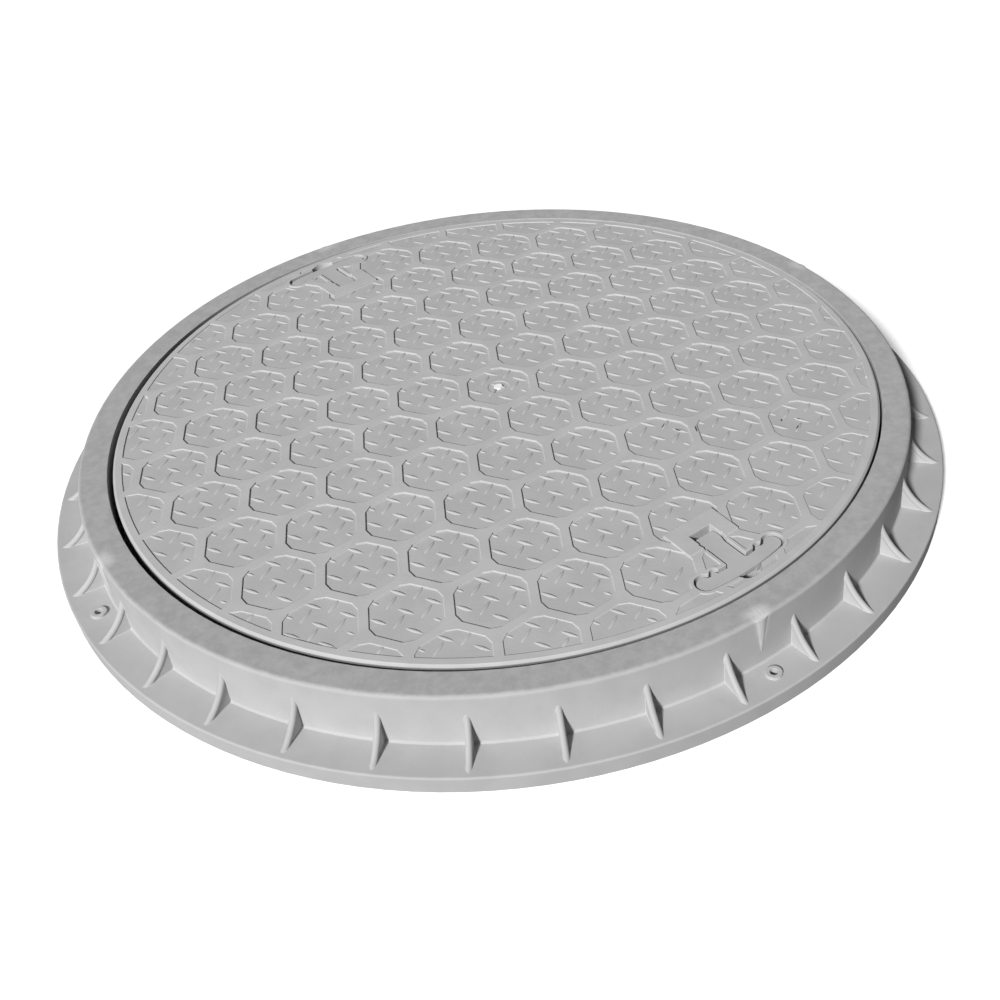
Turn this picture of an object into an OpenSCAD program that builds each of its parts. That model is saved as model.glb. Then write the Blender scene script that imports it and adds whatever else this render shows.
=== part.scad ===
// Round plastic manhole cover for a light load: a moulded frame with a bolt-down flange,
// a crowned lid with a hexagon grip pattern, and two flush T handles that swing up.
// +Z is up and the origin is at the middle of the frame's underside.

/* [Frame] */
// Outer diameter of the bolt-down flange
flange_d = 750; // [745:1:770]
// Height of the flange's outer edge
flange_h = 14; // [12:1:18]
// Height from the underside to the top of the rim
frame_h = 58; // [56:1:64]
// Outer diameter at the top of the rim
rim_d = 688; // [686:1:690]
// How far the outer wall leans out from the rim to its foot
wall_lean = 1.5; // [0.5:0.5:2]
// Diameter of the mouth that takes the lid
mouth_d = 642; // [641:1:644]
// Diameter of the clear opening below the seat
throat_d = 580; // [560:5:590]
// Height of the seat that the lid rests on
seat_z = 20; // [18:1:24]
// Wall thickness of the moulding
frame_wall = 6; // [5:0.5:6]
// Thickness of the webs under the rim and flange
web_t = 4; // [3:0.5:6]
// Turn of the whole frame about the vertical
frame_turn = -3.2; // [-5:0.1:5]

/* [Gussets] */
// Number of gussets around the wall, a multiple of four
gusset_n = 36; // [24:4:40]
// Height where a gusset meets the wall
gusset_top = 42; // [36:1:50]
// Radius at the tip of a gusset's foot
gusset_tip_r = 370.5; // [366:0.5:372]
// Thickness of a gusset's plate
gusset_t = 3.5; // [3:0.1:4]
// Diameter of the rounded bead along a gusset's edge
gusset_bead_d = 4.8; // [4.6:0.1:5.4]
// How far a gusset's edge bows in from a straight line
gusset_bow = 4; // [3:0.5:5]

/* [Bolt holes] */
// Number of bolt holes in the flange
bolt_n = 4; // [4, 12]
// Diameter of the circle that the bolt holes lie on
bolt_circle_d = 717; // [714:1:720]
// Diameter of a bolt hole
bolt_hole_d = 6; // [5:0.5:8]
// Diameter of the raised ring around a bolt hole
bolt_boss_d = 12; // [11:0.5:14]
// Height of that ring above the flange
bolt_boss_h = 2; // [1:0.5:3]
// How far the swelling above a bolt hole stands out of the wall
swell_out = 1.8; // [1:0.1:2.5]

/* [Lid] */
// Outer diameter of the lid
lid_d = 636; // [634:1:637]
// How far the lid sits off the middle of its mouth
lid_shift = 1.2; // [0:0.1:1.5]
// Height of the lid's edge above the rim
lid_proud = 1; // [0:0.5:2]
// Rise from the lid's edge to its middle
lid_crown = 6.4; // [4:0.2:9]
// Thickness of the lid's top plate
lid_plate = 6; // [5:0.5:8]
// Chamfer around the lid's edge
lid_chamfer = 2; // [1:0.5:3]
// Thickness of the lid's skirt
lid_skirt = 6; // [5:0.5:8]
// Turn of the lid in its frame
lid_turn = 1; // [-5:0.5:5]
// Diameter of the cut-off moulding gate in the middle
gate_d = 7; // [5:0.5:9]

/* [Grip pattern] */
// Distance between neighbouring hexagons
hex_pitch = 59; // [54:1:64]
// Width of the flat bands between hexagons
band_w = 7; // [5:0.5:9]
// Depth of a hexagon pocket
hex_depth = 1.4; // [1:0.1:2]
// Share of that depth lost towards the pattern's edge
edge_fade = 0.5; // [0:0.1:0.5]
// Length cut off each corner of a hexagon
corner_cut = 8; // [4:0.5:9]
// Radius of the circle that the pattern stops at
pattern_r = 310.5; // [300:0.5:311]

/* [Lid ribs] */
// Number of straight ribs under the lid
rib_n = 24; // [18:6:30]
// Thickness of a rib
rib_t = 4; // [3:0.5:6]
// Height of the ribs' lower edges
rib_z = 26; // [24:1:34]
// Spacing of the round ribs
ring_step = 78; // [74:1:82]

/* [Handles] */
// Distance from the lid's middle to a handle's hinge
hinge_r = 262; // [260:1:264]
// Width of a handle's stem
stem_w = 15; // [14:0.5:16]
// Width of its hinge end
hinge_w = 18; // [17:0.5:19]
// Distance from the lid's middle to the middle of a crossbar's outer edge
bar_outer_r = 302.4; // [301.4:0.2:303]
// Radius that a crossbar's outer edge is curved to
bar_curve_r = 200; // [160:10:260]
// Width of a crossbar between its edges
bar_w = 10.5; // [10:0.5:11.5]
// Half the length of a crossbar
bar_half = 39; // [38:0.2:40]
// Thickness of a handle
handle_t = 7; // [6:0.5:8]
// Depth of a handle's top below the lid
handle_drop = 1.6; // [0.8:0.2:2]
// Gap around a handle in its recess
handle_gap = 2; // [1.4:0.1:2.2]
// Radius of the hinge knuckle at the stem's end
knuckle_r = 6; // [5.5:0.5:6.5]
// Diameter of the hinge pins moulded on the stem
pin_d = 6; // [5:0.5:7]
// Width of the raised pad over the hinge
pad_w = 47; // [42:1:50]
// Height of the pad above the lid
pad_h = 0.8; // [0.4:0.2:1.2]
// Width of the finger notch beside the crossbar
notch_w = 24; // [22:1:26]
// Depth of the finger notch
notch_depth = 7; // [6:0.5:7.5]

/* [Hidden] */
$fn = 144;

// Room that a cut runs past a face
over = 1;
// Frame radii
flange_r = flange_d / 2;
rim_r = rim_d / 2;
mouth_r = mouth_d / 2;
throat_r = throat_d / 2;
foot_r = rim_r + wall_lean;
// Radii of the rounded rim and flange edges, and the fillet at the wall's foot
rim_round = 3;
flange_round = 1.5;
foot_fillet = 1.2;
// The swelling above a bolt hole
swell_r = 12;
swell_foot_z = 26;
// Lid heights and radii
lid_r = lid_d / 2;
lid_edge_z = frame_h + lid_proud;
crown_steps = 6;
plate_r = lid_r - lid_chamfer;
hub_r = 16;
// The gate's dished ring, its depth below a pocket's floor, and the stub's top below the crown
dish_r = 9;
dish_depth = 0.5;
stub_drop = 0.4;
// Handle outline, along the stem from the hinge
bar_out = bar_outer_r - hinge_r;
bar_in = bar_out - bar_w;
bar_centre = bar_out - bar_curve_r;
knob_r = 6.4;
knob_y = bar_half - knob_r;
knob_x = bar_centre + sqrt(pow(bar_curve_r - knob_r, 2) - pow(knob_y, 2));
lug_r = 2.4;
lug_x = bar_in - 1.3;
lug_y = 21.3;
stem_fillet = 3.5;
taper_start = 2;
taper_end = 8;
// The hinge end's square heel behind the pins
heel_in = -6.5;
heel_cut = 2;
// Recess, slot, pad and pins
recess_depth = handle_drop + handle_t + 0.4;
recess_wall = 4;
lip_w = 2.6;
pad_in = -24;
pad_out = 5;
slot_in = -11;
slot_out = knuckle_r + 1;
slot_side = 1.3;
slot_depth = handle_drop + 2 * knuckle_r + 1.5;
pin_play = 0.05;
pin_reach = 5;
// Finger notch, and the hollow under the crossbar that a finger or key gets into
notch_out = 8.6;
notch_r = (notch_w * notch_w / 4 + notch_out * notch_out) / (2 * notch_out);
notch_x = bar_out + notch_out - notch_r;
notch_lean = 1.2;
hollow_r = 9;
hollow_h = 3.5;
housing_depth = slot_depth + recess_wall;
handle_angles = [-60, 120];

// Height of the lid's crowned top at a radius from its middle
function crown_z(r) = lid_edge_z + lid_crown * (1 - pow(r / plate_r, 2));
// Slope of the crown at a radius, in degrees from level
function crown_tilt(r) = atan(2 * lid_crown * r / (plate_r * plate_r));
// Points along the crown from the middle to its edge, lowered by drop
function crown_line(drop, r_end) =
    [for (k = [0 : crown_steps]) let (r = r_end * k / crown_steps) [r, crown_z(r) - drop]];

// A ring turned from an outline of radius and height points
module turned(points) {
    rotate_extrude() polygon(points);
}

// Points of a quarter round whose corner is at [r, z]
function rounded(r, z, radius) =
    [for (a = [0 : 18 : 90]) [r - radius * (1 - cos(a)), z - radius * (1 - sin(a))]];

module frame_section() {
    turned(concat(
        [[throat_r, 0], [flange_r, 0]],
        rounded(flange_r, flange_h, flange_round),
        [[foot_r + foot_fillet, flange_h], [foot_r, flange_h + foot_fillet]],
        rounded(rim_r, frame_h, rim_round),
        [[mouth_r, frame_h], [mouth_r, seat_z], [throat_r, seat_z]]));
}

// The three ring-shaped hollows under the seat, the rim and the flange
module frame_hollows() {
    turned([
        [throat_r + frame_wall, -over], [mouth_r, -over],
        [mouth_r, seat_z - frame_wall], [throat_r + frame_wall, seat_z - frame_wall]
    ]);
    turned([
        [mouth_r + frame_wall, -over], [rim_r - frame_wall, -over],
        [rim_r - frame_wall, frame_h - frame_wall], [mouth_r + frame_wall, frame_h - frame_wall]
    ]);
    turned([
        [foot_r + frame_wall - 1, -over], [flange_r - frame_wall, -over],
        [flange_r - frame_wall, flange_h - frame_wall],
        [foot_r + frame_wall - 1, flange_h - frame_wall]
    ]);
}

// One gusset standing on the flange against the wall, in line with +X: a plate whose outer
// edge is a hollow arc, with a rounded bead along it
module gusset() {
    head = [rim_r + 0.5, gusset_top];
    tip = [gusset_tip_r, flange_h];
    chord = norm(tip - head);
    edge_r = (chord * chord / 4 + gusset_bow * gusset_bow) / (2 * gusset_bow);
    arc_r = edge_r + gusset_bead_d / 2;
    out = [head[1] - tip[1], tip[0] - head[0]] / chord;
    centre = (head + tip) / 2 + out * (edge_r - gusset_bow);
    sunk_angle = 1.5;
    half = asin(chord / 2 / edge_r) + sunk_angle;
    middle = atan2(-out[1], -out[0]);
    steps = 4;
    edge = [for (k = [0 : steps])
        let (a = middle - half + 2 * half * k / steps)
        centre + arc_r * [cos(a), sin(a)]];
    rotate([90, 0, 0]) {
        translate([0, 0, -gusset_t / 2]) linear_extrude(gusset_t)
            polygon(concat([[rim_r - 3, flange_h - 3]], edge));
        translate([centre[0], centre[1], 0]) rotate_extrude(angle = 2 * half, start = middle - half)
            translate([arc_r, 0]) circle(d = gusset_bead_d);
    }
}

// The swelling that runs down the wall to a point above a bolt hole
module swelling() {
    top_z = frame_h - rim_round / 2;
    foot_x = foot_r - 0.5;
    top_x = rim_r + swell_out - swell_r;
    lean = atan((foot_x - top_x) / (top_z - swell_foot_z));
    tall = (top_z - swell_foot_z) / cos(lean);
    intersection() {
        translate([foot_x, 0, swell_foot_z]) rotate([0, -lean, 0])
            cylinder(h = tall + 6, r1 = 0.5, r2 = swell_r * (tall + 6) / tall);
        translate([rim_r - 8, -swell_r, 0]) cube([20, 2 * swell_r, top_z]);
    }
}

module frame() {
    color("#b4b4b4")
    rotate([0, 0, frame_turn])
    difference() {
        union() {
            frame_section();
            for (k = [0 : gusset_n - 1]) rotate([0, 0, (k + 0.5) * 360 / gusset_n]) gusset();
            for (k = [0 : bolt_n - 1]) rotate([0, 0, k * 360 / bolt_n + 30]) {
                swelling();
                translate([bolt_circle_d / 2, 0, 0])
                    cylinder(h = flange_h + bolt_boss_h, d = bolt_boss_d);
            }
        }
        difference() {
            frame_hollows();
            for (k = [0 : gusset_n - 1]) rotate([0, 0, (k + 0.5) * 360 / gusset_n])
                translate([throat_r, -web_t / 2, 0])
                    cube([flange_r - throat_r, web_t, frame_h]);
            for (k = [0 : bolt_n - 1]) rotate([0, 0, k * 360 / bolt_n + 30])
                translate([bolt_circle_d / 2, 0, 0]) cylinder(h = flange_h, d = bolt_boss_d);
        }
        for (k = [0 : bolt_n - 1]) rotate([0, 0, k * 360 / bolt_n + 30])
            translate([bolt_circle_d / 2, 0, -over])
                cylinder(h = flange_h + bolt_boss_h + 2 * over, d = bolt_hole_d);
    }
}

// Corner points of a hexagon with its corners cut, flats facing left and right
function hex_points(flats, cut) = [
    for (k = [0 : 5], side = [-1, 1])
        let (a = 30 + 60 * k, corner = flats / sqrt(3), along = a + side * 120)
        corner * [cos(a), sin(a)] + cut / 2 / cos(30) * [cos(along), sin(along)]
];

// One hexagon pocket, tipped to lie square to the crown
module hex_pocket(x, y) {
    r = norm([x, y]);
    deep = hex_depth * (1 - edge_fade * pow(min(r / pattern_r, 1), 6));
    rotate([0, 0, atan2(y, x)]) translate([r, 0, crown_z(r)])
        rotate([0, crown_tilt(r), 0]) rotate([0, 0, -atan2(y, x)])
            translate([0, 0, -deep]) linear_extrude(deep + 3)
                polygon(hex_points(hex_pitch - band_w, corner_cut));
}

// Places children on the crown at a handle, +X outward from the hinge
module at_handle(angle) {
    rotate([0, 0, angle]) translate([hinge_r, 0, crown_z(hinge_r)])
        rotate([0, crown_tilt((hinge_r + bar_outer_r) / 2), 0]) children();
}

// Outline of a handle, larger by grow on every side
module handle_outline(grow) {
    wide = hinge_w / 2 + grow;
    slim = stem_w / 2 + grow;
    intersection() {
        difference() {
            translate([bar_centre, 0]) circle(r = bar_curve_r + grow);
            translate([bar_centre, 0]) circle(r = bar_curve_r - bar_w - grow);
        }
        translate([0, -knob_y]) square([60, 2 * knob_y]);
    }
    for (side = [-1, 1]) {
        translate([knob_x, side * knob_y]) circle(r = knob_r + grow);
        translate([lug_x, side * lug_y]) circle(r = lug_r + grow);
    }
    polygon([[0, -wide], [taper_start, -wide], [taper_end, -slim], [bar_in + 4, -slim],
             [bar_in + 4, slim], [taper_end, slim], [taper_start, wide], [0, wide]]);
}

// The small hollow fillets between the stem and the crossbar
module stem_fillets() {
    for (side = [0, 1]) mirror([0, side])
        translate([bar_in, stem_w / 2])
            difference() {
                translate([-stem_fillet, -1]) square([stem_fillet + 1, stem_fillet + 1]);
                translate([-stem_fillet, stem_fillet]) circle(r = stem_fillet);
            }
}

module handle_recess() {
    translate([0, 0, -recess_depth]) linear_extrude(recess_depth + 4)
        handle_outline(handle_gap);
    translate([notch_x, 0, -notch_depth])
        cylinder(h = notch_depth + 2, r1 = notch_r - notch_lean,
                 r2 = notch_r + 2 * notch_lean / notch_depth);
    translate([slot_in, -hinge_w / 2 - slot_side, -slot_depth])
        cube([slot_out - slot_in, hinge_w + 2 * slot_side, slot_depth + 4]);
    translate([0, 0, -handle_drop - knuckle_r]) rotate([90, 0, 0])
        cylinder(h = hinge_w + 2 * (pin_reach + slot_side), r = pin_d / 2 + pin_play, center = true);
}

module handle_pad() {
    translate([pad_in, -pad_w / 2, -housing_depth])
        cube([pad_out - pad_in, pad_w, housing_depth + pad_h]);
}

// Walls under the lid that close the recess from below
module handle_housing() {
    translate([0, 0, -recess_depth - recess_wall]) linear_extrude(recess_depth + 1)
        handle_outline(handle_gap + recess_wall);
    translate([notch_x, 0, -notch_depth - recess_wall])
        cylinder(h = notch_depth + 1, r = notch_r + recess_wall);
    translate([0, -hinge_w / 2 - recess_wall - slot_side, -housing_depth])
        cube([slot_out + recess_wall, hinge_w + 2 * (recess_wall + slot_side), housing_depth - 3]);
}

module lid_shell() {
    difference() {
        turned(concat(
            crown_line(0, plate_r),
            [[lid_r, lid_edge_z - lid_chamfer], [lid_r, seat_z],
             [lid_r - lid_skirt, seat_z], [0, seat_z]]));
        turned(concat(
            crown_line(lid_plate, lid_r - lid_skirt),
            [[lid_r - lid_skirt, seat_z - over], [0, seat_z - over]]));
    }
}

module lid_ribs() {
    intersection() {
        turned(concat(crown_line(lid_plate / 2, lid_r - lid_skirt / 2),
                      [[lid_r - lid_skirt / 2, rib_z], [0, rib_z]]));
        union() {
            for (k = [0 : rib_n / 2 - 1]) rotate([0, 0, k * 360 / rib_n])
                translate([-lid_r, -rib_t / 2, rib_z - over]) cube([lid_d, rib_t, frame_h]);
            for (k = [1 : 3]) difference() {
                translate([0, 0, rib_z - over]) cylinder(h = frame_h, r = k * ring_step + rib_t / 2);
                translate([0, 0, rib_z - 2 * over])
                    cylinder(h = frame_h + 2 * over, r = k * ring_step - rib_t / 2);
            }
            translate([0, 0, rib_z - over]) cylinder(h = frame_h, r = hub_r);
        }
    }
}

module hex_pockets() {
    reach = pattern_r + hex_pitch / 2;
    rows = ceil(reach / (hex_pitch * sin(60)));
    difference() {
        intersection() {
            union() for (j = [-rows : rows], i = [-rows - 2 : rows + 2]) {
                x = hex_pitch * (i + 0.5 * (j % 2));
                y = hex_pitch * sin(60) * j;
                if (norm([x, y]) < reach - 8) hex_pocket(x, y);
            }
            cylinder(h = frame_h + 30, r = pattern_r);
        }
        for (a = handle_angles) at_handle(a) {
            translate([0, 0, -4]) linear_extrude(12) handle_outline(handle_gap + lip_w);
            translate([pad_in, -pad_w / 2, -4]) cube([pad_out - pad_in, pad_w, 12]);
        }
        translate([0, 0, frame_h - 2]) cylinder(h = 20, r = dish_r - 1);
    }
}

// The ring sunk around the stub that is left of the moulding gate
module gate_dish() {
    difference() {
        translate([0, 0, crown_z(0) - hex_depth - dish_depth]) cylinder(h = 20, r = dish_r);
        translate([0, 0, seat_z]) cylinder(h = crown_z(0) - stub_drop - seat_z, d = gate_d);
    }
}

module lid() {
    color("#c4c4c4")
    translate([lid_shift, 0, 0]) rotate([0, 0, lid_turn])
    difference() {
        difference() {
            union() {
                lid_shell();
                lid_ribs();
                for (a = handle_angles) at_handle(a) {
                    handle_pad();
                    handle_housing();
                }
            }
            for (a = handle_angles) at_handle(a) handle_recess();
            gate_dish();
        }
        hex_pockets();
    }
}

// A T handle lying flat, with a square heel and its hinge pins at the stem's end
module handle(angle) {
    heel_w = hinge_w / 2;
    color("#bcbcbc")
    translate([lid_shift, 0, 0]) rotate([0, 0, lid_turn])
    at_handle(angle) {
        difference() {
            translate([0, 0, -handle_drop - handle_t]) linear_extrude(handle_t) {
                handle_outline(0);
                stem_fillets();
            }
            translate([notch_x, 0, -handle_drop - handle_t - over])
                cylinder(h = hollow_h + over, r = hollow_r);
        }
        translate([0, 0, -handle_drop - knuckle_r]) linear_extrude(knuckle_r)
            polygon([[1, -heel_w], [heel_in + heel_cut, -heel_w], [heel_in, -heel_w + heel_cut],
                     [heel_in, heel_w - heel_cut], [heel_in + heel_cut, heel_w], [1, heel_w]]);
        translate([0, 0, -handle_drop - knuckle_r]) rotate([90, 0, 0]) {
            cylinder(h = hinge_w, r = knuckle_r, center = true);
            cylinder(h = hinge_w + 2 * pin_reach, d = pin_d, center = true);
        }
    }
}

module handle_front() {
    handle(handle_angles[0]);
}

module handle_back() {
    handle(handle_angles[1]);
}

frame();
lid();
handle_front();
handle_back();
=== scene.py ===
import math

import bpy
import numpy as np
from mathutils import Matrix, Vector


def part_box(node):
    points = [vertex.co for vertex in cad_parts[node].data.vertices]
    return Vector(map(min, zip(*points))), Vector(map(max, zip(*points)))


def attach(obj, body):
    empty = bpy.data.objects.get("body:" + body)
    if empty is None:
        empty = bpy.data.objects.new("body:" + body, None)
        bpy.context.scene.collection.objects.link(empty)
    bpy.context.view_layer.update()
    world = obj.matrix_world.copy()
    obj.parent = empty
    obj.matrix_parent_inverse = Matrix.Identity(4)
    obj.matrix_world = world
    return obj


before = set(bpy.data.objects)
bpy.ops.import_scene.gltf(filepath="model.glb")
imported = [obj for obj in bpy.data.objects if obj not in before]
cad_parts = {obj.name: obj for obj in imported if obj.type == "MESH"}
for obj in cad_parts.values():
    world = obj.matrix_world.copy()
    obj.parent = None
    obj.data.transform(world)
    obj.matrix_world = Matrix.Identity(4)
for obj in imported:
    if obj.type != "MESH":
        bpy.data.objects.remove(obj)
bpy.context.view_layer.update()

mm = 0.001  # sizes below are in millimetres until they become a mesh or a node's value


# Nodes and colours

# sRGB hex to linear RGBA: the usual power curve with its straight foot
def linearColour(hexCode):
    parts = [int(hexCode[k:k + 2], 16) / 255 for k in (1, 3, 5)]
    return tuple(c / 12.92 if c <= 0.04045 else ((c + 0.055) / 1.055) ** 2.4 for c in parts) + (1.0,)


# Adds a shader node with its settings and gives back its outputs. Each input takes a value, a hex
# colour or another node's output.
def addNode(tree, kind, inputs, **settings):
    made = tree.nodes.new("ShaderNode" + kind)
    for name, value in settings.items():
        setattr(made, name, value)
    for socket, source in inputs.items():
        if isinstance(source, bpy.types.NodeSocket):
            tree.links.new(source, made.inputs[socket])
        else:
            made.inputs[socket].default_value = linearColour(source) if isinstance(source, str) else source
    return made.outputs


def newMaterial(name):
    material = bpy.data.materials.new(name)
    material.use_nodes = True
    material.node_tree.nodes.clear()
    return material, material.node_tree


# Largest of several masks
def largest(tree, masks):
    top = masks[0]
    for mask in masks[1:]:
        top = addNode(tree, "Math", {0: top, 1: mask}, operation="MAXIMUM")[0]
    return top


# The lid's own form, as the frame holds it
lidLow, lidHigh = (np.array(corner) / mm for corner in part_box("lid"))
lidForm = {
    "centre": (lidLow + lidHigh)[:2] / 2,
    "turn": math.radians(1.0),
    "crown": 6.4,         # rise of the top from its edge to the middle
    "topZ": lidHigh[2],
    "plateR": 316.0,      # where the crown ends
    "pitch": 59.0,        # between neighbouring hexagons
    "pocketDepth": 1.4,
    "edgeFade": 0.5,      # share of the depth lost towards the pattern's edge
    "fadePower": 6,       # how late that loss sets in
    "patternR": 310.5,
}


# Height of the crown at a radius: a parabola down from the middle
def crownZ(r):
    return lidForm["topZ"] - lidForm["crown"] * (r / lidForm["plateR"]) ** 2


# Depth of a pocket at a radius: full in the middle, less by a high power of the radius outwards
def pocketDepth(r):
    share = np.minimum(r / lidForm["patternR"], 1) ** lidForm["fadePower"]
    return lidForm["pocketDepth"] * (1 - lidForm["edgeFade"] * share)


# Materials

mouldedPolymer = {
    "ior": 1.49,                # filled polyolefin
    "roughness": 0.72,          # spark-eroded mould, matte
    "specular": 0.12,           # dulled by the fine texture
    # painted highlight along every edge, hollow and outer alike; on the outer edges it is also wear
    "edge": "#e4e4e4",
    "edgeHighlightShare": 0.7,           # share of that colour on an edge
    "edgeTurn": (0.82, 0.99),   # cosine of the turn from the true normal, from full white to none
    "edgeSamples": 6,
    "cloudMm": 26,              # flow clouds in the moulding
    "cloudSpan": (0.35, 0.65),  # part of the noise's range that shades from one tone to the other
    "grainMm": 2.2,             # mould grain, drawn coarser than the real 0.3 mm so that it shows
}


# Injection-moulded filled polymer: matte, faintly cloudy, with a soft radius on every edge and a
# thin pale line along it, where the softened normal leaves the true one. That line is a painted
# highlight, on hollow edges as well as on worn outer ones, and it greys the shade at the pockets'
# walls; it is what draws the pockets. paint(tree, coords, shade) gives the colour, and shade is the
# clouds' mask.
def polymer(name, paint, edgeMm, grainDepthMm, settings=mouldedPolymer):
    material, tree = newMaterial(name)
    coords = addNode(tree, "TexCoord", {})["Object"]
    cloud = addNode(tree, "TexNoise", {"Vector": coords, "Scale": 1 / (settings["cloudMm"] * mm),
                                       "Detail": 4.0, "Roughness": 0.55})[0]
    grain = addNode(tree, "TexNoise", {"Vector": coords, "Scale": 1 / (settings["grainMm"] * mm),
                                       "Detail": 2.0, "Roughness": 0.55})[0]
    lowest, highest = settings["cloudSpan"]
    shade = addNode(tree, "MapRange", {"Value": cloud, "From Min": lowest, "From Max": highest},
                    interpolation_type="SMOOTHSTEP")[0]
    soft = addNode(tree, "Bevel", {"Radius": edgeMm * mm}, samples=settings["edgeSamples"])[0]
    bump = addNode(tree, "Bump", {"Height": grain, "Distance": grainDepthMm * mm, "Strength": 1.0,
                                  "Normal": soft})[0]
    flat = addNode(tree, "NewGeometry", {})["True Normal"]
    match = addNode(tree, "VectorMath", {0: soft, 1: flat}, operation="DOT_PRODUCT")["Value"]
    turned, straight = settings["edgeTurn"]
    # painted highlight: pale colour at every edge, where the softened normal turns from the true one
    edgeHighlight = addNode(tree, "MapRange", {
        "Value": match, "From Min": turned, "From Max": straight,
        "To Min": settings["edgeHighlightShare"], "To Max": 0.0}, interpolation_type="SMOOTHSTEP")[0]
    colour = addNode(tree, "Mix", {0: edgeHighlight, 6: paint(tree, coords, shade), 7: settings["edge"]},
                     data_type="RGBA")[2]
    shader = addNode(tree, "BsdfPrincipled", {
        "Base Color": colour, "Normal": bump, "IOR": settings["ior"],
        "Roughness": settings["roughness"], "Specular IOR Level": settings["specular"]})[0]
    addNode(tree, "OutputMaterial", {"Surface": shader})
    return material


lidPaints = {
    "floor": ("#b9b9b9", "#bfbfbf"),
    "band": ("#bfbfbf", "#c5c5c5"),
    "bandFrom": (0.5, 0.1),    # mm below the crown, where floor turns to band
    "gapShade": "#747474",        # painted shade in the gap round the lid
    "gapShadeR": (317.5, 317.9),  # mm
    # painted white for the bright backdrop seen through the vent hole in the middle
    "gate": "#ffffff",
    "gateR": (3.4, 3.74),
}

# Small dark nicks and two pale chips: place in mm, heading in degrees, length and width in mm
nicks = {
    "colour": "#3c3c3c",
    "spots": ((127.6, -83.6, 60, 6.0, 1.4), (137.9, -91.7, -39, 5.4, 1.2),
              (152.5, -93.8, -89, 8.6, 1.3), (222.7, -93.3, -104, 2.8, 1.6),
              (232.7, -105.5, 53, 4.8, 1.4), (236.4, -94.8, -35, 3.4, 1.0)),
}
chips = {
    "colour": "#ececec",
    "spots": ((307.7, -46.4, -107, 3.4, 1.6), (-300.3, 59.5, -16, 2.4, 1.6)),
}
spotEdge = (0.7, 1.2)  # where a spot fades, in its own half sizes


# 1 inside any of the spots, each an ellipse with a soft edge, the same at every height
def spotMask(tree, coords, spots):
    masks = []
    for x, y, heading, length, width in spots:
        local = addNode(tree, "Mapping", {
            "Vector": coords, "Location": (x * mm, y * mm, 0), "Rotation": (0, 0, math.radians(heading)),
            "Scale": (length / 2 * mm, width / 2 * mm, 1.0)}, vector_type="TEXTURE")[0]
        flat = addNode(tree, "VectorMath", {0: local, 1: (1, 1, 0)}, operation="MULTIPLY")[0]
        reach = addNode(tree, "VectorMath", {0: flat}, operation="LENGTH")["Value"]
        masks.append(addNode(tree, "MapRange", {
            "Value": reach, "From Min": spotEdge[0], "From Max": spotEdge[1],
            "To Min": 1.0, "To Max": 0.0}, interpolation_type="SMOOTHSTEP")[0])
    return largest(tree, masks)


# Pocket floors, and slightly paler bands between them. Their border is the height over
# the crown, which falls with the square of the radius. The spot in the middle is painted white
# for the bright backdrop seen through the vent hole, and the rim of the lid where it drops into
# the gap is painted dark as the shade there.
def lidPaint(tree, coords, shade):
    x, y = lidForm["centre"] * mm
    centred = addNode(tree, "Mapping", {"Vector": coords, "Location": (-x, -y, 0)})[0]
    flat = addNode(tree, "VectorMath", {0: centred, 1: (1, 1, 0)}, operation="MULTIPLY")[0]
    square = addNode(tree, "VectorMath", {0: flat, 1: flat}, operation="DOT_PRODUCT")["Value"]
    height = addNode(tree, "SeparateXYZ", {0: coords})["Z"]
    fall = lidForm["crown"] / lidForm["plateR"] ** 2 / mm
    over = addNode(tree, "Math", {0: square, 1: fall, 2: height}, operation="MULTIPLY_ADD")[0]
    lower, upper = ((lidForm["topZ"] - depth) * mm for depth in lidPaints["bandFrom"])
    onBand = addNode(tree, "MapRange", {"Value": over, "From Min": lower, "From Max": upper},
                     interpolation_type="SMOOTHSTEP")[0]
    # painted shade: the lid's outer rim is darkened where it drops into the gap
    inner, outer = ((r * mm) ** 2 for r in lidPaints["gapShadeR"])
    inGapShade = addNode(tree, "MapRange", {"Value": square, "From Min": inner, "From Max": outer},
                    interpolation_type="SMOOTHSTEP")[0]
    # painted backdrop light: the middle spot is white where the backdrop shows through the vent hole
    inner, outer = ((r * mm) ** 2 for r in lidPaints["gateR"])
    onHoleBackdrop = addNode(tree, "MapRange", {"Value": square, "From Min": inner, "From Max": outer,
                                        "To Min": 1.0, "To Max": 0.0}, interpolation_type="SMOOTHSTEP")[0]
    floor, band = (addNode(tree, "Mix", {0: shade, 6: lidPaints[part][0], 7: lidPaints[part][1]},
                           data_type="RGBA")[2] for part in ("floor", "band"))
    colour = floor
    for mask, layer in ((onBand, band), (inGapShade, lidPaints["gapShade"]), (onHoleBackdrop, lidPaints["gate"]),
                        (spotMask(tree, coords, nicks["spots"]), nicks["colour"]),
                        (spotMask(tree, coords, chips["spots"]), chips["colour"])):
        colour = addNode(tree, "Mix", {0: mask, 6: colour, 7: layer}, data_type="RGBA")[2]
    return colour


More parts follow.
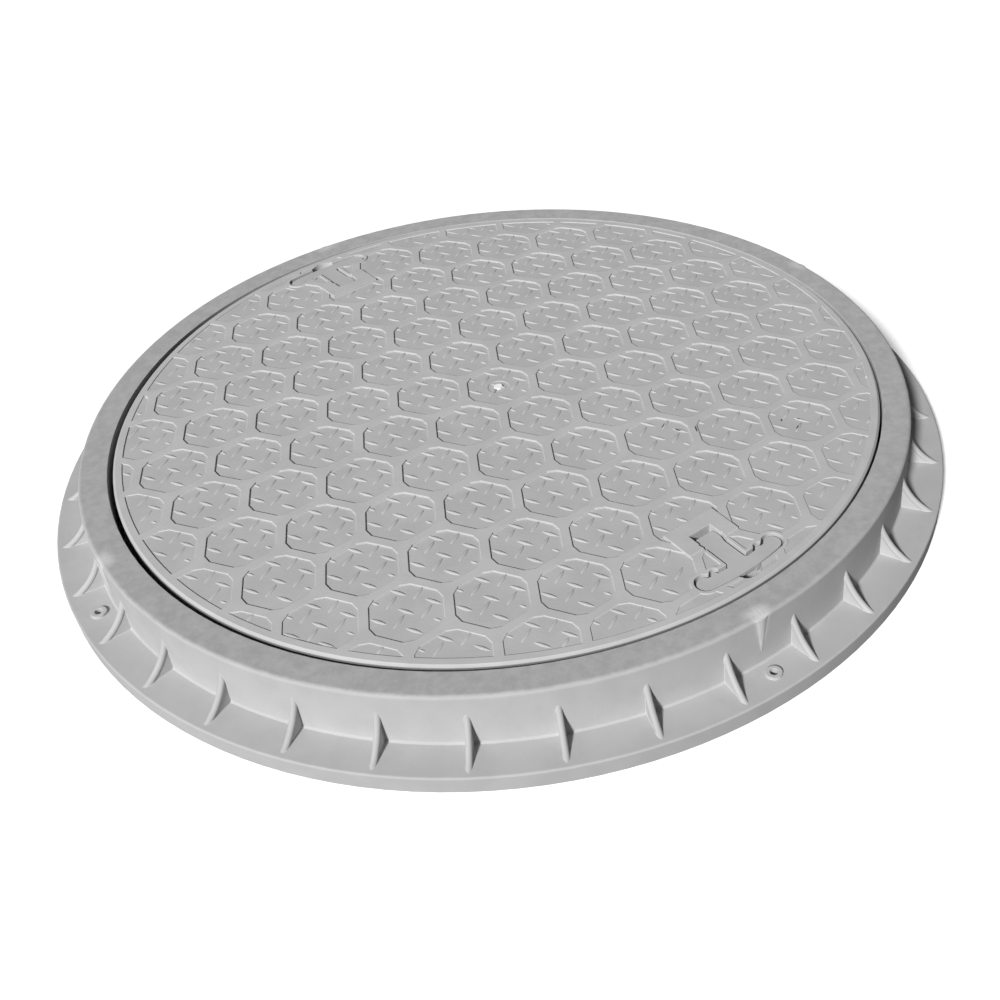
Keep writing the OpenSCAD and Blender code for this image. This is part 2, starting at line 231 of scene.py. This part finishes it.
framePaints = {
    "side": ("#b6b6b6", "#bbbbbb"),
    "rim": ("#a9a9a9", "#b8b8b8"),
    "rimZ": (56.6, 57.8),  # mm, where side turns to rim
    "mottleMm": 9,
    "mottleSpan": (0.3, 0.7),
}
rubs = {
    "colour": "#dedede",
    "azimuths": (-153.2, -63.2, 26.8, 116.8),  # degrees
    "strengths": (0.8, 1.0, 0.5, 0.5),
    "r": 338.5,              # mm, as the half sizes that follow
    "along": 14,
    "across": 8,
    "fade": (0.1, 1.1),      # in those half sizes
    "lines": (0.5, 5, 1),    # stretches the noise into lines across the rim
    "lineScale": 1.6,
    "lineSpan": (0.3, 0.6),
    "between": 0.55,         # what is left between the lines
}
streak = {
    "colour": "#e6e6e6",
    "share": 0.45,
    "headZ": 58,             # mm, as all below
    "footZ": 27,
    "headHalf": 9.0,
    "footHalf": 2.5,
    "sideFade": (-3.5, 0.5),
    "footFade": (-2, 8),
    "wallFrom": (-2.0, -1.0),  # in the rub's half size across the rim: leaves out the far side
}


# Pale sides and flange, a duller and more mottled top of the rim, and over each bolt hole a
# whitened rub on the rim that runs down the wall as a narrowing streak
def framePaint(tree, coords, shade):
    height = addNode(tree, "SeparateXYZ", {0: coords})["Z"]
    low, high = framePaints["rimZ"]
    onTop = addNode(tree, "MapRange", {"Value": height, "From Min": low * mm, "From Max": high * mm},
                    interpolation_type="SMOOTHSTEP")[0]
    speckle = addNode(tree, "TexNoise", {"Vector": coords, "Scale": 1 / (framePaints["mottleMm"] * mm),
                                         "Detail": 6.0, "Roughness": 0.65})[0]
    low, high = framePaints["mottleSpan"]
    mottle = addNode(tree, "MapRange", {"Value": speckle, "From Min": low, "From Max": high},
                     interpolation_type="SMOOTHSTEP")[0]
    side, rim = (addNode(tree, "Mix", {0: mask, 6: framePaints[part][0], 7: framePaints[part][1]},
                         data_type="RGBA")[2] for part, mask in (("side", shade), ("rim", mottle)))
    spread = (streak["headHalf"] - streak["footHalf"]) / (streak["headZ"] - streak["footZ"])
    atGround = (streak["footHalf"] - spread * streak["footZ"]) * mm
    halfWidth = addNode(tree, "Math", {0: height, 1: spread, 2: atGround}, operation="MULTIPLY_ADD")[0]
    rubbed, streaked = [], []
    for azimuth, strength in zip(rubs["azimuths"], rubs["strengths"]):
        turn = math.radians(azimuth)
        local = addNode(tree, "Mapping", {
            "Vector": coords, "Rotation": (0, 0, turn),
            "Location": (rubs["r"] * mm * math.cos(turn), rubs["r"] * mm * math.sin(turn), 0),
            "Scale": (rubs["across"] * mm, rubs["along"] * mm, 1.0)}, vector_type="TEXTURE")[0]
        rubbed.append(rubMask(tree, local, strength))
        streaked.append(streakMask(tree, local, halfWidth))
    low, high = (streak["footZ"] + fade for fade in streak["footFade"])
    overFoot = addNode(tree, "MapRange", {"Value": height, "From Min": low * mm, "From Max": high * mm},
                       interpolation_type="SMOOTHSTEP")[0]
    onStreak = addNode(tree, "Math", {0: largest(tree, streaked), 1: overFoot}, operation="MULTIPLY")[0]
    trail = addNode(tree, "Math", {0: onStreak, 1: streak["share"]}, operation="MULTIPLY")[0]
    wall = addNode(tree, "Mix", {0: trail, 6: side, 7: streak["colour"]}, data_type="RGBA")[2]
    top = addNode(tree, "Mix", {0: largest(tree, rubbed), 6: rim, 7: rubs["colour"]}, data_type="RGBA")[2]
    return addNode(tree, "Mix", {0: onTop, 6: wall, 7: top}, data_type="RGBA")[2]


# One rub: an ellipse that fades outwards, broken into lines by stretched noise
def rubMask(tree, local, strength):
    flat = addNode(tree, "VectorMath", {0: local, 1: (1, 1, 0)}, operation="MULTIPLY")[0]
    reach = addNode(tree, "VectorMath", {0: flat}, operation="LENGTH")["Value"]
    stretched = addNode(tree, "VectorMath", {0: local, 1: rubs["lines"]}, operation="MULTIPLY")[0]
    lines = addNode(tree, "TexNoise", {"Vector": stretched, "Scale": rubs["lineScale"], "Detail": 3.0})[0]
    inner, outer = rubs["fade"]
    patch = addNode(tree, "MapRange", {"Value": reach, "From Min": inner, "From Max": outer,
                                       "To Min": strength, "To Max": 0.0}, interpolation_type="SMOOTHSTEP")[0]
    low, high = rubs["lineSpan"]
    broken = addNode(tree, "MapRange", {"Value": lines, "From Min": low, "From Max": high,
                                        "To Min": rubs["between"]}, interpolation_type="SMOOTHSTEP")[0]
    return addNode(tree, "Math", {0: patch, 1: broken}, operation="MULTIPLY")[0]


# One streak: 1 where the distance to its middle line stays under half its width there
def streakMask(tree, local, halfWidth):
    parts = addNode(tree, "SeparateXYZ", {0: local})
    aside = addNode(tree, "Math", {0: parts["Y"]}, operation="ABSOLUTE")[0]
    distance = addNode(tree, "Math", {0: aside, 1: rubs["along"] * mm}, operation="MULTIPLY")[0]
    beyond = addNode(tree, "Math", {0: distance, 1: halfWidth}, operation="SUBTRACT")[0]
    low, high = streak["sideFade"]
    inside = addNode(tree, "MapRange", {"Value": beyond, "From Min": low * mm, "From Max": high * mm,
                                        "To Min": 1.0, "To Max": 0.0}, interpolation_type="SMOOTHSTEP")[0]
    low, high = streak["wallFrom"]
    near = addNode(tree, "MapRange", {"Value": parts["X"], "From Min": low, "From Max": high},
                   interpolation_type="SMOOTHSTEP")[0]
    return addNode(tree, "Math", {0: inside, 1: near}, operation="MULTIPLY")[0]


materials = {
    "frame": polymer("injection moulded polymer, frame", framePaint, edgeMm=0.75, grainDepthMm=0.07),
    "lid": polymer("injection moulded polymer, lid", lidPaint, edgeMm=0.5, grainDepthMm=0.07),
    "handle": polymer("injection moulded polymer, handle", lidPaint, edgeMm=0.3, grainDepthMm=0.03),
}


def finish(piece, material):
    piece.data.materials.clear()
    piece.data.materials.append(material)


for nodeName, slotName in (("frame", "frame"), ("lid", "lid"),
                           ("handle_front", "handle"), ("handle_back", "handle")):
    finish(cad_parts[nodeName], materials[slotName])
print("materials made")


# Grip bars on the pocket floors

gripBar = {
    "length": 14.4,
    "width": 3.6,
    "height": 1.0,
    "stubLength": 6.2,      # where the pocket's edge leaves no room for a whole bar
    "stubWidth": 0.65,      # share of a whole bar's
    "sunk": 0.3,            # how far the foot goes into the floor
    "along": (19.2, 5.8),   # the two steps from one bar to the next
    "across": (4.6, -19.5),
    "middle": (-0.2, 1.7),
    "between": (2.2, 4.0),  # the other family's shift off the half steps
    "stubs": ((-21.0, 13.7), (20.6, -10.8)),
    "slope": -34,           # degrees, and the other family lies square to it
    "stations": 5,
    "stationSpan": (1.15, 0.97),  # they close up towards the tips: sine of this angle, times this
    "section": ((-1, -1), (-0.74, 0.56), (-0.28, 1), (0.28, 1), (0.74, 0.56), (1, -1)),
    "lowering": 0.7,        # power by which a bar gets lower in a shallower pocket
    "clear": 0.4,           # kept to the pads, lips and edge
    "probes": 41,           # points along a bar that are tried for room
    "shortest": 8.0,        # of a bar that the pattern's edge cuts
    "stubShare": 0.98,      # of a stub, which is never cut
}

handleForm = {
    "azimuths": (-60, 120),  # in the lid's own turn
    "hingeR": 262.0,
    "barOut": 40.4,          # crossbar's outer edge, from the hinge
    "barWidth": 10.5,
    "barCurve": 200.0,
    "knobR": 6.4,
    "knobY": 32.6,
    "lug": (28.6, 21.3, 2.4),
    "stemWidth": 15.0,
    "lip": 4.6,              # recess gap and lip together
    "pad": (-24.0, 5.0, 23.5),
    "bare": (4.0, 50.0, 40.0),  # box between stem, crossbar and the pattern's edge, with no bars
    "flare": (34.0, 3.0, 0.35),  # from here out that box widens, and inwards of the lug it narrows
}


# Layout of the bars in one pocket: centres, slopes, lengths and shares of the full width. Whole
# bars of one family stand at the middle and one step away, those of the other family half a step
# between them.
def pocketLayout():
    a, b, middle = (np.array(gripBar[key]) for key in ("along", "across", "middle"))
    whole = [middle + i * a + j * b for i, j in ((0, 0), (1, 0), (-1, 0), (0, 1), (0, -1))]
    between = [middle + i * a / 2 + j * b / 2 + gripBar["between"] for i in (-1, 1) for j in (-1, 1)]
    counts = (len(whole), len(gripBar["stubs"]), len(between))
    centres = np.array(whole + list(gripBar["stubs"]) + between)
    slopes = np.radians(np.repeat((gripBar["slope"], gripBar["slope"], gripBar["slope"] + 90), counts))
    lengths = np.repeat((gripBar["length"], gripBar["stubLength"], gripBar["length"]), counts)
    slims = np.repeat((1.0, gripBar["stubWidth"], 1.0), counts)
    return centres, slopes, lengths, slims


# Pocket middles: rows 60 degrees apart, every second row shifted by half a pitch. A pocket of
# which the pattern's edge leaves less than a sliver has no bars.
def pocketMiddles():
    pitch = lidForm["pitch"]
    sliver = 8.0
    reach = int(lidForm["patternR"] / pitch) + 3
    i, j = np.meshgrid(np.arange(-reach, reach + 1), np.arange(1 - reach, reach))
    spots = np.stack([pitch * (i + 0.5 * (j % 2)), pitch * math.sin(math.pi / 3) * j], axis=-1).reshape(-1, 2)
    return spots[np.hypot(*spots.T) < lidForm["patternR"] + pitch / 2 - sliver]


# True where a point of the lid is covered by a handle, its lip or its pad. The outline is a curved
# bar with round ends and lugs, a straight stem and a square pad, all measured from the hinge.
def underHandle(spots):
    covered = np.zeros(spots.shape[:-1], bool)
    clear = gripBar["clear"]
    lip = handleForm["lip"] + clear
    curve, knobY, knobR = (handleForm[key] for key in ("barCurve", "knobY", "knobR"))
    lugX, lugY, lugR = handleForm["lug"]
    padIn, padOut, padHalf = handleForm["pad"]
    bareIn, bareOut, bareHalf = handleForm["bare"]
    flareFrom, flareOut, flareIn = handleForm["flare"]
    centre = handleForm["barOut"] - curve
    knobX = centre + math.sqrt((curve - knobR) ** 2 - knobY ** 2)
    for azimuth in handleForm["azimuths"]:
        turn = math.radians(azimuth)
        x = spots[..., 0] * math.cos(turn) + spots[..., 1] * math.sin(turn) - handleForm["hingeR"]
        y = np.abs(spots[..., 1] * math.cos(turn) - spots[..., 0] * math.sin(turn))
        fromCentre = np.hypot(x - centre, y)
        flare = flareOut * np.maximum(x - flareFrom, 0) - flareIn * np.maximum(lugX - x, 0)
        covered |= (x > bareIn) & (x < bareOut) & (y < bareHalf + flare)
        covered |= ((fromCentre < curve + lip) & (fromCentre > curve - handleForm["barWidth"] - lip)
                    & (y < knobY) & (x > 0))
        covered |= np.hypot(x - knobX, y - knobY) < knobR + lip
        covered |= np.hypot(x - lugX, y - lugY) < lugR + lip
        covered |= (x > 0) & (x < lugX) & (y < handleForm["stemWidth"] / 2 + lip)
        covered |= (x > padIn - clear) & (x < padOut + clear) & (y < padHalf + clear)
    return covered


# Cuts each bar to the longest stretch that stays free. Gives the part kept as two fractions of
# the bar, from -1 to 1.
def freeStretch(middles, centres, slopes, lengths):
    t = np.linspace(-1, 1, gripBar["probes"])
    reach = lengths[:, None] / 2 * t
    local = centres[:, None, :] + reach[..., None] * np.stack([np.cos(slopes), np.sin(slopes)], 1)[:, None, :]
    spots = middles[:, None, None, :] + local
    r = np.hypot(*np.moveaxis(spots, -1, 0))
    free = ~underHandle(spots) & (r < lidForm["patternR"] - gripBar["clear"])
    run = np.zeros(free.shape, int)
    run[..., 0] = free[..., 0]
    for k in range(1, len(t)):
        run[..., k] = (run[..., k - 1] + 1) * free[..., k]
    last = run.argmax(-1)
    first = last - run.max(-1) + 1
    return t[first], t[last]


# Every bar that has room, as arrays: middle of its pocket, its own middle in the pocket, heading,
# half length and share of the full width
def fittedBars():
    middles = pocketMiddles()
    centres, slopes, lengths, slims = pocketLayout()
    low, high = freeStretch(middles, centres, slopes, lengths)
    stretch = (high - low) * lengths / 2
    pocket, bar = np.nonzero(stretch > np.minimum(gripBar["shortest"], lengths * gripBar["stubShare"]))
    heading = np.stack([np.cos(slopes), np.sin(slopes)], 1)[bar]
    shift = ((low + high) * lengths / 4)[pocket, bar]
    foot = centres[bar] + shift[:, None] * heading
    return middles[pocket], foot, heading, stretch[pocket, bar] / 2, slims[bar]


# Grid over every bar, along it and round its section: a low round hump, whose width falls with the
# square of the distance from its middle to its tips and whose height falls with the square root of
# what the width keeps. Gives places in the pocket's plane, and heights over the crown.
def barGrid(depth, foot, heading, half, slim):
    angle, share = gripBar["stationSpan"]
    s = np.concatenate([[-1], np.sin(np.linspace(-angle, angle, gripBar["stations"])) * share, [1]])
    keep = 1 - s ** 2
    section = np.array(gripBar["section"])
    sideways = np.stack([-heading[:, 1], heading[:, 0]], 1)
    width = gripBar["width"] / 2 * slim[:, None] * keep
    tall = gripBar["height"] * (depth / lidForm["pocketDepth"]) ** gripBar["lowering"]
    spots = foot[:, None, None, :] + (s * half[:, None])[..., None, None] * heading[:, None, None, :]
    spots = spots + (width[..., None] * section[:, 0])[..., None] * sideways[:, None, None, :]
    rise = np.sqrt(keep)[None, :, None] * section[:, 1] * tall[:, None, None]
    return spots, np.where(section[:, 1] < 0, -gripBar["sunk"], rise) - depth[:, None, None]


# From a pocket's plane, which lies square to the crown, to the lid's place in the frame
def ontoCrown(middle, spots, height):
    r = np.hypot(*middle.T)
    azimuth = np.arctan2(middle[:, 1], middle[:, 0])[:, None, None]
    tip = np.arctan(2 * lidForm["crown"] * r / lidForm["plateR"] ** 2)[:, None, None]
    radial = spots[..., 0] * np.cos(azimuth) + spots[..., 1] * np.sin(azimuth)
    around = spots[..., 1] * np.cos(azimuth) - spots[..., 0] * np.sin(azimuth)
    outward = r[:, None, None] + radial * np.cos(tip) + height * np.sin(tip)
    x = outward * np.cos(azimuth) - around * np.sin(azimuth)
    y = outward * np.sin(azimuth) + around * np.cos(azimuth)
    z = crownZ(r)[:, None, None] - radial * np.sin(tip) + height * np.cos(tip)
    turn = lidForm["turn"]
    return np.stack([x * math.cos(turn) - y * math.sin(turn) + lidForm["centre"][0],
                     x * math.sin(turn) + y * math.cos(turn) + lidForm["centre"][1], z], -1)


# Faces of one bar: quads between its rings, and at each end a fan to the tip
def barFaces(ring, stations):
    e = np.arange(ring)
    nextE = (e + 1) % ring
    row = np.arange(stations - 1)[:, None] * ring
    quads = np.stack([row + e, row + ring + e, row + ring + nextE, row + nextE], -1).reshape(-1, 4)
    lastRow = (stations - 1) * ring
    startTip, endTip = lastRow + ring, lastRow + ring + 1
    fans = np.concatenate([np.stack([np.full(ring, startTip), e, nextE], -1),
                           np.stack([np.full(ring, endTip), lastRow + nextE, lastRow + e], -1)])
    return quads, fans


# One mesh of all the bars. The first and last station of each close to one point.
def makeGripBars():
    middle, foot, heading, half, slim = fittedBars()
    depth = pocketDepth(np.hypot(*middle.T))
    placed = ontoCrown(middle, *barGrid(depth, foot, heading, half, slim))
    count = len(middle)
    crest = slice(2, 4)  # the section's two highest points
    tips = placed[:, [0, -1]][:, :, crest].mean(2)
    points = np.concatenate([placed[:, 1:-1].reshape(count, -1, 3), tips], 1)
    quads, fans = barFaces(len(gripBar["section"]), gripBar["stations"])
    each = np.arange(count)[:, None, None] * points.shape[1]
    mesh = bpy.data.meshes.new("grip_bars")
    mesh.from_pydata((points.reshape(-1, 3) * mm).tolist(), [],
                     (quads + each).reshape(-1, 4).tolist() + (fans + each).reshape(-1, 3).tolist())
    mesh.polygons.foreach_set("use_smooth", np.ones(len(mesh.polygons), bool))
    bars = bpy.data.objects.new("grip_bars", mesh)
    bpy.context.scene.collection.objects.link(bars)
    finish(bars, materials["lid"])
    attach(bars, "cover")
    print("grip bars made:", count, "bars,", len(mesh.polygons), "faces")


makeGripBars()


# Stage, light and camera

stage = {"floorM": 14.0, "paper": "#f2f2f2", "paperInBounce": "#262626", "lift": 0.35}


# 1 where the camera sees the surface straight on, in a gloss or through glass
def seenMask(tree):
    path = addNode(tree, "LightPath", {})
    return largest(tree, [path[ray] for ray in ("Is Camera Ray", "Is Glossy Ray", "Is Transmission Ray")])


# Wide flat sheet at z = 0. The camera sees white paper, while the light that it throws back on the
# object is that of a darker table.
def makeFloor():
    half = stage["floorM"]
    mesh = bpy.data.meshes.new("floor")
    corners = [(-half, -half, 0), (half, -half, 0), (half, half, 0), (-half, half, 0)]
    mesh.from_pydata(corners, [], [(0, 1, 2, 3)])
    floor = bpy.data.objects.new("floor", mesh)
    bpy.context.scene.collection.objects.link(floor)
    material, tree = newMaterial("paper backdrop")
    white = addNode(tree, "BsdfDiffuse", {"Color": stage["paper"]})[0]
    lift = addNode(tree, "Emission", {"Color": "#ffffff", "Strength": stage["lift"]})[0]
    bright = addNode(tree, "AddShader", {0: white, 1: lift})[0]
    dull = addNode(tree, "BsdfDiffuse", {"Color": stage["paperInBounce"]})[0]
    mixed = addNode(tree, "MixShader", {0: seenMask(tree), 1: dull, 2: bright})[0]
    addNode(tree, "OutputMaterial", {"Surface": mixed})
    finish(floor, material)


light = {"azimuth": -120, "elevation": 35, "softness": 7, "sun": 4.1, "sky": 0.07}


# One fairly soft key from the front left and an even pale sky
def makeLight():
    lamp = bpy.data.lights.new("key", "SUN")
    lamp.energy = light["sun"]
    lamp.angle = math.radians(light["softness"])
    key = bpy.data.objects.new("key", lamp)
    across = math.radians(light["azimuth"])
    up = math.radians(light["elevation"])
    towards = Vector((math.cos(up) * math.cos(across), math.cos(up) * math.sin(across), math.sin(up)))
    key.rotation_euler = towards.to_track_quat("Z", "Y").to_euler()
    bpy.context.scene.collection.objects.link(key)
    world = bpy.data.worlds.new("studio")
    world.use_nodes = True
    tree = world.node_tree
    tree.nodes.clear()
    sky = addNode(tree, "Background", {"Color": "#ffffff", "Strength": light["sky"]})[0]
    backdrop = addNode(tree, "Background", {"Color": "#ffffff", "Strength": 1.0})[0]
    mixed = addNode(tree, "MixShader", {0: seenMask(tree), 1: sky, 2: backdrop})[0]
    addNode(tree, "OutputWorld", {"Surface": mixed})
    bpy.context.scene.world = world


view = {
    "place": (0.0, -0.863282, 0.628020),  # metres
    "elevation": 33.5099,  # degrees that the middle of the view looks down before the turns below
    "roll": 7.1411,
    "pan": 4.69065,
    "tilt": 9.83061,
    "sensor": 36,  # mm
    "lens": 43.053,
    "shift": (-0.12268, 0.08781),
    "farthestM": 60,
}


def makeCamera():
    down = math.radians(view["elevation"])
    backward = Vector((0, -math.cos(down), math.sin(down)))
    right = Vector((1, 0, 0))
    upward = backward.cross(right)
    level = Matrix((right, upward, backward))
    turn = (Matrix.Rotation(math.radians(view["roll"]), 3, "Z")
            @ Matrix.Rotation(math.radians(view["tilt"]), 3, "X")
            @ Matrix.Rotation(math.radians(view["pan"]), 3, "Y"))
    lens = bpy.data.cameras.new("view")
    lens.sensor_width = view["sensor"]
    lens.lens = view["lens"]
    lens.shift_x, lens.shift_y = view["shift"]
    lens.clip_end = view["farthestM"]
    camera = bpy.data.objects.new("view", lens)
    camera.matrix_world = Matrix.Translation(view["place"]) @ (turn @ level).transposed().to_4x4()
    bpy.context.scene.collection.objects.link(camera)
    bpy.context.scene.camera = camera


makeFloor()
makeLight()
makeCamera()
bpy.context.scene.view_settings.view_transform = "Standard"
print("stage, light and camera set")
